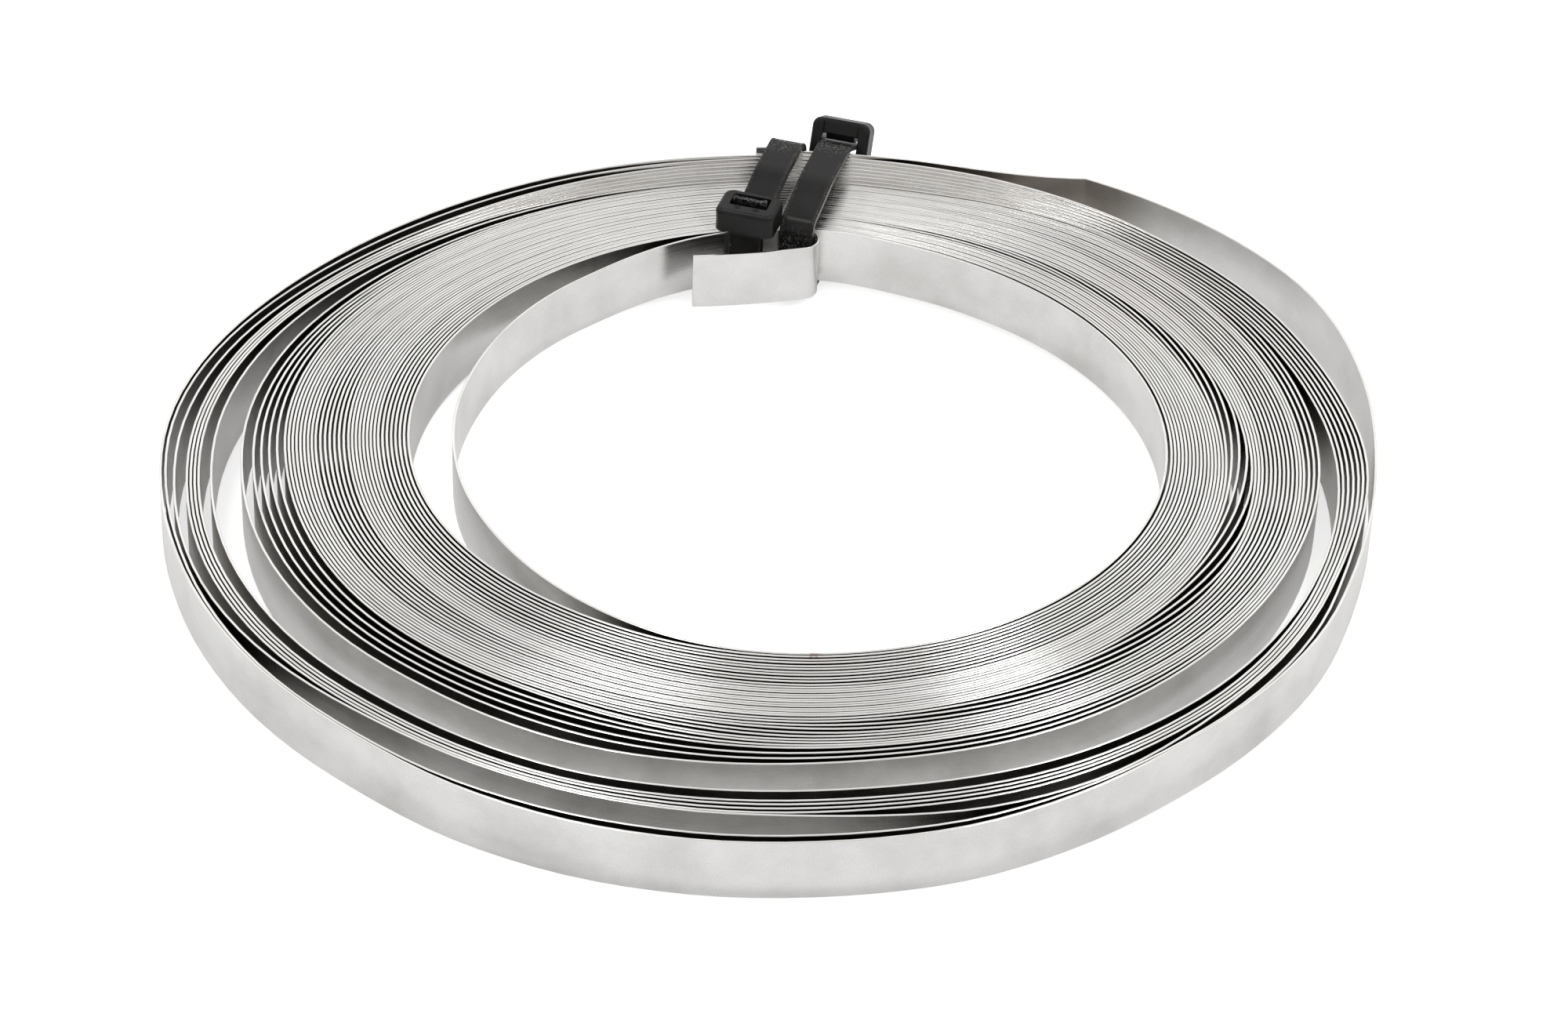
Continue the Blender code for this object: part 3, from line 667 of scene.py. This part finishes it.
# The right cable tie
# The same nylon moulding put on the other way round: its head leans outside the rim, and the
# tail is pulled over the top of the coil and down through it.
inner, level, outer_leg = -3.60 * MM, 26.81 * MM, 33.53 * MM
HEAD_LEAN = 25 * DEG
through = np.array([math.cos(HEAD_LEAN), -math.sin(HEAD_LEAN)])
away = np.array([math.sin(HEAD_LEAN), math.cos(HEAD_LEAN)])
entry = np.array([outer_leg + 1.4 * MM, ARCH - 1.85 * MM])
slot = entry + through * HEAD_HEIGHT / 2
neck = slot - through * (HEAD_HEIGHT - STRAP_THICK) / 2 - away * NECK
end = slot + through * TAIL_STUB
shoulder = WIDTH + CLEAR + 2.4 * MM
peak = entry[0] - 1.6 * MM / math.tan(HEAD_LEAN)
corners = (
    (neck[0], neck[1], 0.0),
    (outer_leg, neck[1] - (neck[0] - outer_leg) / math.tan(HEAD_LEAN), 3 * MM),
    (outer_leg, LIFT - CLEAR, 1.8 * MM),
    (level, -CLEAR, 1.8 * MM),
    (inner, -CLEAR, 1.8 * MM),
    (inner, shoulder, 3.4 * MM),
    ((inner + peak) / 2, (shoulder + ARCH) / 2 + 1.4 * MM, 26 * MM),
    (peak, ARCH, 8 * MM),
    (end[0], end[1], 0.0),
)
right = cable_tie("cable_tie_right_moulding", (-1.45 * MM, 92.42 * MM), corners, slot,
                  through, ((0.56, 3.5 * MM), (0.90, 3.5 * MM), (1.0, 1.2 * MM)), nylon)
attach(right, "root")
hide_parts("cable_tie_right")

# The floor and the light
# White paper under the coil, lit for the camera and dimmer for what mirrors it, so that narrow
# gaps stay dark. A soft grey room stands round it, with a square lamp high up on each side.
floor_mesh = bpy.data.meshes.new("floor")
floor_mesh.from_pydata([(-4, -4, 0), (4, -4, 0), (4, 4, 0), (-4, 4, 0)], [], [(0, 1, 2, 3)])
floor = bpy.data.objects.new("floor", floor_mesh)
bpy.context.scene.collection.objects.link(floor)
paper, tree, shader = new_material("paper")
shader.inputs["Base Color"].default_value = (0.80, 0.80, 0.80, 1)
shader.inputs["Roughness"].default_value = 0.9
shader.inputs["Specular IOR Level"].default_value = 0.1
shader.inputs["Emission Strength"].default_value = 1.0
seen = node(tree, "ShaderNodeLightPath").outputs["Is Camera Ray"]
tree.links.new(remap(tree, seen, 0.0, 1.0, 0.21, 0.65), shader.inputs["Emission Color"])
floor_mesh.materials.append(paper)

world = bpy.data.worlds.new("studio")
bpy.context.scene.world = world
world.use_nodes = True
tree = world.node_tree
background = tree.nodes["Background"]
direction = node(tree, "ShaderNodeTexCoord").outputs["Generated"]
rise = node(tree, "ShaderNodeSeparateXYZ")
tree.links.new(direction, rise.inputs["Vector"])
# Dim at the horizon, brightest where the edges mirror it, dimmer overhead; white for the camera
room = toned(tree, rise.outputs["Z"], (0.0, (0.25, 0.25, 0.245)), (0.30, (0.76, 0.76, 0.76)),
             (0.58, (1.12, 1.12, 1.12)), (0.82, (0.70, 0.70, 0.70)), (1.0, (0.50, 0.50, 0.50)))
seen = node(tree, "ShaderNodeLightPath").outputs["Is Camera Ray"]
tree.links.new(overlaid(tree, seen, room, (1.0, 1.0, 1.0)), background.inputs["Color"])
background.inputs["Strength"].default_value = 1.0


def softbox(name, location, size, power):
    """A square lamp that faces the coil."""
    lamp = bpy.data.lights.new(name, "AREA")
    lamp.size = size
    lamp.energy = power
    box = bpy.data.objects.new(name, lamp)
    box.location = location
    box.rotation_euler = (-Vector(location)).to_track_quat("-Z", "Y").to_euler()
    bpy.context.scene.collection.objects.link(box)


softbox("softbox_left", (-0.42, 0.15, 1.5), 0.22, 3.6)
softbox("softbox_right", (0.62, 0.17, 1.4), 0.22, 3.6)

# The camera
# The photograph's camera, found from the coil's ellipses and placed in the coil's own frame.
ELEVATION = 35.626 * DEG
ROLL = 2.109 * DEG
CAMERA_PLACE = np.array([-3.066, -967.071, 684.779]) * MM
place = Matrix.Translation(Vector(seated(CAMERA_PLACE)[0])) @ Matrix.Rotation(SEAT_TILT, 4, "X")
aim = Matrix.Rotation(math.pi / 2 - ELEVATION, 4, "X") @ Matrix.Rotation(ROLL, 4, "Z")
lens = bpy.data.cameras.new("camera")
lens.sensor_width = 36.0
lens.lens = 109.09
lens.clip_start = 0.01
camera = bpy.data.objects.new("camera", lens)
bpy.context.scene.collection.objects.link(camera)
camera.matrix_world = place @ aim

scene = bpy.context.scene
scene.camera = camera
scene.render.engine = "CYCLES"
scene.view_settings.view_transform = "Standard"
scene.render.resolution_x = 2000
scene.render.resolution_y = 1297
